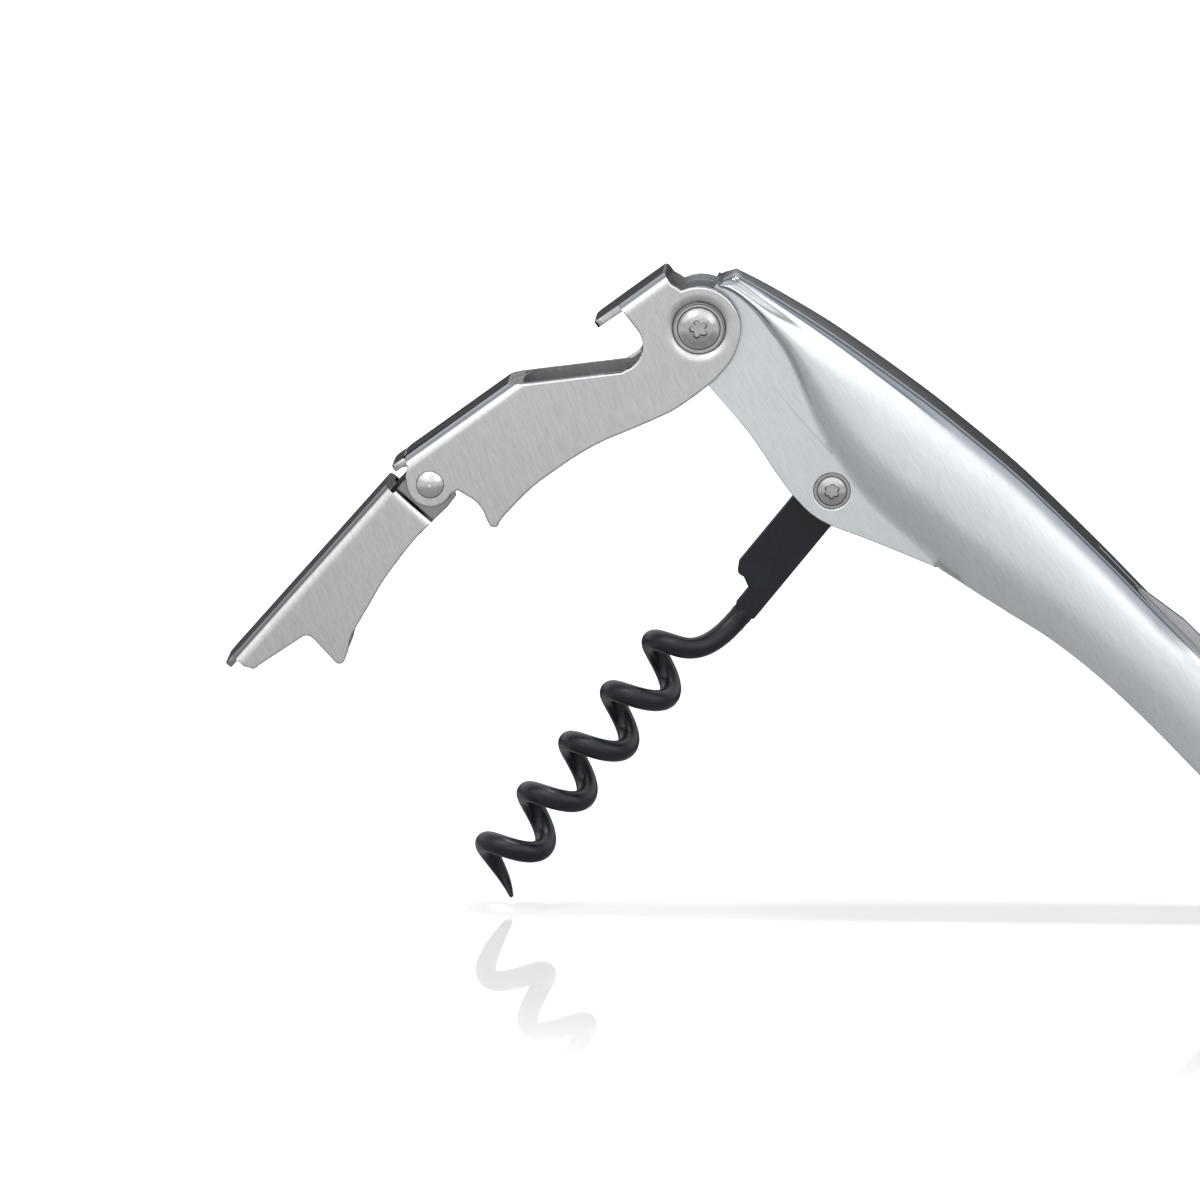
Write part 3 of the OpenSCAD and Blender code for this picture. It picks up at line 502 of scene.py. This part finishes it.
def mark_crease(bm):
    """Stores how deep each point of the handle lies below its back, in widths of the crease's grey painted
    shade strip.

    A second layer says how soft the strip's lower end is: 0 from 7 to 28 mm along the handle, 1 far beyond.
    """
    rise = spine_up(-HANDLE_FALL)
    step, widest, tail, firm_from, firm_to = 3 * MM, 32 * MM, 75 * MM, 7 * MM, 28 * MM
    back = {}
    for face in bm.faces:
        if face.normal.dot(rise) > 0.9 and abs(face.normal.y) < 0.1:
            for vert in face.verts:
                run, height = along_handle(vert.co), (vert.co - MAIN).dot(rise)
                part = round(run / step)
                # Lower points belong to the inside of the shell
                if height > 1 * MM - 0.086 * run:
                    back[part] = max(back.get(part, (-1.0, 0.0)), (height, run))
    known = sorted((run, height) for height, run in back.values())
    runs = [run for run, _ in known]
    crease = bm.verts.layers.float.new("crease")
    soft = bm.verts.layers.float.new("soft")
    for vert in bm.verts:
        run = along_handle(vert.co)
        place = min(max(bisect.bisect_left(runs, run), 1), len(known) - 1)
        low, high = known[place - 1], known[place]
        share = min(max((run - low[0]) / (high[0] - low[0]), 0.0), 1.0)
        top = low[1] + (high[1] - low[1]) * share
        width = 0.4 * MM + 0.022 * min(max(run, 0.0), widest)
        vert[crease] = (top - (vert.co - MAIN).dot(rise)) / width + max(run - tail, 0.0) / (5 * MM)
        vert[soft] = min(max((run - firm_to) / (8 * MM), (firm_from - run) / (4 * MM), 0.0), 1.0)


def settings_of(context):
    """The settings of the steel, the worm and the stage."""
    scene = context.scene
    return scene.cork_steel, scene.cork_worm, scene.cork_stage


class CORK_OT_levers(bpy.types.Operator):
    """Dresses the two bent levers and their hinge"""
    bl_idname = "cork.levers"
    bl_label = "Levers"

    def execute(self, context):
        steel, _, _ = settings_of(context)
        upper = brushed_steel("Upper lever steel", steel.lever, 64, -UPPER_RISE, steel, dish=4.4 * MM,
                              bend=LEVER_BEND)
        lower = brushed_steel("Lower lever steel", steel.lever, 66, -LOWER_RISE, steel, recess=5.8 * MM,
                              bend=LEVER_BEND)
        painted_edge_shade = brushed_steel("Lever edge painted shade", steel.lever, 64, -UPPER_RISE, steel, painted_edge_shade=True)
        rivet = turned_steel("Hinge rivet steel", HINGE, (0.50, 0.505, 0.515), 0.22, 1.84 * MM)
        dark = turned_steel("Hinge sleeve steel", HINGE, (0.34, 0.35, 0.36), 0.35)
        bm = welded("upper_lever", steel.edge, smooth=18, up=spine_up(UPPER_RISE))
        finish_mesh(bm, "upper_lever_dressed", "first_lever", ["upper_lever"], upper, painted_edge_shade)
        bm = welded("lower_lever", steel.edge, smooth=24, up=spine_up(LOWER_RISE), keep=on_shoulder)
        finish_mesh(bm, "lower_lever_dressed", "second_lever", ["lower_lever"], lower, painted_edge_shade)
        for name, material, slot in (
                ("hinge_rivet", rivet, "pressed_steel"), ("hinge_sleeve", dark, "pin_steel")):
            finish_mesh(welded(name), name + "_dressed", "first_lever", [name], material)
        return {"FINISHED"}


class CORK_OT_handle(bpy.types.Operator):
    """Dresses the pressed handle"""
    bl_idname = "cork.handle"
    bl_label = "Handle"

    def execute(self, context):
        steel, _, _ = settings_of(context)
        skin = brushed_steel("Handle steel", steel.handle, 58, HANDLE_FALL, steel, 0.06, crease=True)
        painted_edge_shade = brushed_steel("Handle edge painted shade", steel.handle, 58, HANDLE_FALL, steel, 0.06, painted_edge_shade=True)
        bm = welded("handle_shell", 0.6 * steel.edge, 62, FACET_TURN, keep=at_front)
        # The rounding leaves slivers between the facets, which are taken out before the flats are joined
        sort_faces(bm)
        bmesh.ops.triangulate(bm, faces=bm.faces)
        bmesh.ops.dissolve_degenerate(bm, edges=bm.edges, dist=0.012 * MM)
        drop_doubled(bm)
        bmesh.ops.dissolve_limit(bm, angle_limit=math.radians(FACET_TURN), verts=[], edges=bm.edges,
                                 use_dissolve_boundaries=False, delimit={"MATERIAL"})
        sort_faces(bm)
        mark_crease(bm)
        finish_mesh(bm, "handle_dressed", "handle", ["handle_shell"], skin, painted_edge_shade)
        return {"FINISHED"}


class CORK_OT_pins(bpy.types.Operator):
    """Dresses the pivots, spacers and pins"""
    bl_idname = "cork.pins"
    bl_label = "Pins"

    def execute(self, context):
        main = turned_steel("Main pivot steel", MAIN, (0.40, 0.405, 0.415), 0.22, 2.8 * MM, 2.3 * MM)
        small = turned_steel("Worm pivot steel", WORM, (0.40, 0.405, 0.415), 0.20, 1.95 * MM)
        tail = turned_steel("Knife pivot steel", KNIFE, (0.42, 0.425, 0.435), 0.26)
        for name, material in (
                ("main_pivot_barrel", main), ("main_pivot_screw", main), ("main_pivot_sleeve", main),
                ("worm_pivot_barrel", small), ("worm_pivot_screw", small), ("worm_spacer_near", small),
                ("worm_spacer_far", small), ("knife_rivet", tail), ("knife_spacer_near", tail),
                ("knife_spacer_far", tail), ("knife_stop_pin", tail)):
            finish_mesh(welded(name), name + "_dressed", "handle", [name], material)
        return {"FINISHED"}


class CORK_OT_knife(bpy.types.Operator):
    """Dresses the foil knife"""
    bl_idname = "cork.knife"
    bl_label = "Knife"

    def execute(self, context):
        steel, _, _ = settings_of(context)
        blade = brushed_steel("Knife steel", steel.lever, -55, HANDLE_FALL, steel)
        bm = welded("knife_blade")
        finish_mesh(bm, "knife_dressed", "foil_knife", ["knife_blade"], blade)
        return {"FINISHED"}


class CORK_OT_worm(bpy.types.Operator):
    """Dresses the worm"""
    bl_idname = "cork.worm"
    bl_label = "Worm"

    def execute(self, context):
        _, worm, _ = settings_of(context)
        coat = worm_coating("Worm coating", worm)
        bm = welded("worm", angle=50, flat=FACET_TURN)
        # Four-sided faces round the wire well, but the tang's concave faces have to be triangles
        shank = [face for face in bm.faces if (face.calc_center_median() - WORM).length < SHANK]
        bmesh.ops.triangulate(bm, faces=shank)
        wire = [face for face in bm.faces if (face.calc_center_median() - WORM).length > SHANK]
        bmesh.ops.join_triangles(bm, faces=wire, cmp_seam=False, cmp_sharp=False, cmp_uvs=False,
                                 cmp_vcols=False, cmp_materials=False, angle_face_threshold=math.radians(40),
                                 angle_shape_threshold=math.radians(60))
        held = 22 * MM
        crease = bm.edges.layers.float.new("crease_edge")
        for edge in bm.edges:
            if (edge.verts[0].co - WORM).length < held:
                edge[crease] = 1.0
        piece = finish_mesh(bm, "worm_dressed", "corkscrew_worm", ["worm"], coat)
        rounding = piece.modifiers.new("Rounding", "SUBSURF")
        rounding.levels = 1
        rounding.render_levels = 1
        return {"FINISHED"}


class CORK_OT_stage(bpy.types.Operator):
    """Floor, surroundings, lamps and camera"""
    bl_idname = "cork.stage"
    bl_label = "Stage"

    def execute(self, context):
        _, _, stage = settings_of(context)
        self.camera(context, stage)
        self.floor(context, stage)
        self.surroundings(context)
        self.lamps(context)
        context.scene.view_settings.view_transform = "Standard"
        return {"FINISHED"}

    def camera(self, context, stage):
        a, e = stage.azimuth, stage.elevation
        right = Vector((math.cos(a), math.sin(a), 0))
        forward = Vector((-math.sin(a) * math.cos(e), math.cos(a) * math.cos(e), -math.sin(e)))
        up = right.cross(forward)
        # Where the middle of the picture lies from the main pivot, to the right and up
        across, rise = -13.37 * MM, -37.16 * MM
        target = MAIN + right * across + up * rise
        data = bpy.data.cameras.new("Camera")
        data.lens = 260
        data.sensor_width = 36
        data.clip_end = 20
        distance = stage.view_height * data.lens / data.sensor_width
        camera = bpy.data.objects.new("Camera", data)
        context.scene.collection.objects.link(camera)
        turn = Matrix((right, up, -forward)).transposed().to_4x4()
        camera.matrix_world = Matrix.Translation(target - forward * distance) @ turn
        context.scene.camera = camera

    def floor(self, context, stage):
        bm = bmesh.new()
        bmesh.ops.create_circle(bm, cap_ends=True, segments=96, radius=6.0)
        bmesh.ops.translate(bm, verts=bm.verts, vec=(0, 0, -stage.floor_drop))
        mesh = bpy.data.meshes.new("Floor")
        bm.to_mesh(mesh)
        bm.free()
        floor = bpy.data.objects.new("Floor", mesh)
        context.scene.collection.objects.link(floor)
        mesh.materials.append(floor_white())

    def surroundings(self, context):
        world = bpy.data.worlds.new("Studio")
        tree = empty_tree(world)
        path = node(tree, "ShaderNodeLightPath")
        place = node(tree, "ShaderNodeTexCoord")
        parts = node(tree, "ShaderNodeSeparateXYZ", {"Vector": place.outputs["Generated"]})
        front = ramp(tree, parts.outputs["Z"], 0.12, 0.42, 0.98, 1.85)
        across = ramp(tree, parts.outputs["Y"], -0.30, 0.05)
        behind = ramp(tree, parts.outputs["Y"], 0.10, 0.40, 0.62, 1.25)
        over = maths(tree, "ADD", maths(tree, "MULTIPLY", front, inverse(tree, across)),
                     maths(tree, "MULTIPLY", behind, across))
        # A dark band low behind the part, which the levers' and the handle's spines mirror
        band = maths(tree, "MULTIPLY", ramp(tree, parts.outputs["Y"], 0.55, 0.82),
                     ramp(tree, parts.outputs["Z"], 0.15, 0.19, 1.0, 0.0))
        depth = ramp(tree, parts.outputs["Z"], 0.02, 0.12, 0.93, 0.80)
        glossy = maths(tree, "MULTIPLY", over, inverse(tree, maths(tree, "MULTIPLY", band, depth)))
        strength = node(tree, "ShaderNodeMix", data_type="FLOAT")
        sockets = [s for s in strength.inputs if s.enabled]
        tree.links.new(path.outputs["Is Glossy Ray"], sockets[0])
        sockets[1].default_value = 0.75
        tree.links.new(glossy, sockets[2])
        level = [s for s in strength.outputs if s.enabled][0]
        level = maths(tree, "MAXIMUM", level, path.outputs["Is Camera Ray"])
        shown = node(tree, "ShaderNodeBackground", {"Color": (1, 1, 1, 1), "Strength": level})
        node(tree, "ShaderNodeOutputWorld", {"Surface": shown.outputs[0]})
        context.scene.world = world

    def lamps(self, context):
        for name, place, aim, size, power in (
                ("Top", (0.06, 0, 1.2), (0.06, 0, 0), 0.18, 7.0),
                ("Key", (-0.45, -0.55, 0.95), (0, 0, 0.03), 0.55, 2.6),
                ("Fill", (0.75, -0.6, 0.55), (0.02, 0, 0.04), 0.7, 0.8)):
            data = bpy.data.lights.new(name, "AREA")
            data.shape = "DISK"
            data.size = size
            data.energy = power
            lamp = bpy.data.objects.new(name, data)
            lamp.location = place
            lamp.rotation_euler = (Vector(aim) - Vector(place)).to_track_quat("-Z", "Y").to_euler()
            context.scene.collection.objects.link(lamp)


class CORK_PT_panel(bpy.types.Panel):
    """Lists the pieces and their settings"""
    bl_label = "Lever corkscrew"
    bl_idname = "CORK_PT_panel"
    bl_space_type = "VIEW_3D"
    bl_region_type = "UI"
    bl_category = "Corkscrew"

    def draw(self, context):
        for group in settings_of(context):
            box = self.layout.box()
            for key in group.__annotations__:
                box.prop(group, key)
        for operator in OPERATORS:
            self.layout.operator(operator.bl_idname)


OPERATORS = (CORK_OT_stage, CORK_OT_levers, CORK_OT_handle, CORK_OT_pins, CORK_OT_knife, CORK_OT_worm)
CLASSES = (CORK_PG_steel, CORK_PG_worm, CORK_PG_stage, *OPERATORS, CORK_PT_panel)


def register():
    for cls in CLASSES:
        bpy.utils.register_class(cls)
    bpy.types.Scene.cork_steel = bpy.props.PointerProperty(type=CORK_PG_steel)
    bpy.types.Scene.cork_worm = bpy.props.PointerProperty(type=CORK_PG_worm)
    bpy.types.Scene.cork_stage = bpy.props.PointerProperty(type=CORK_PG_stage)


def unregister():
    del bpy.types.Scene.cork_steel
    del bpy.types.Scene.cork_worm
    del bpy.types.Scene.cork_stage
    for cls in reversed(CLASSES):
        bpy.utils.unregister_class(cls)


def main():
    register()
    for operator in OPERATORS:
        group, name = operator.bl_idname.split(".")
        getattr(getattr(bpy.ops, group), name)()
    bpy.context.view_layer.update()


if __name__ == "__main__":
    main()
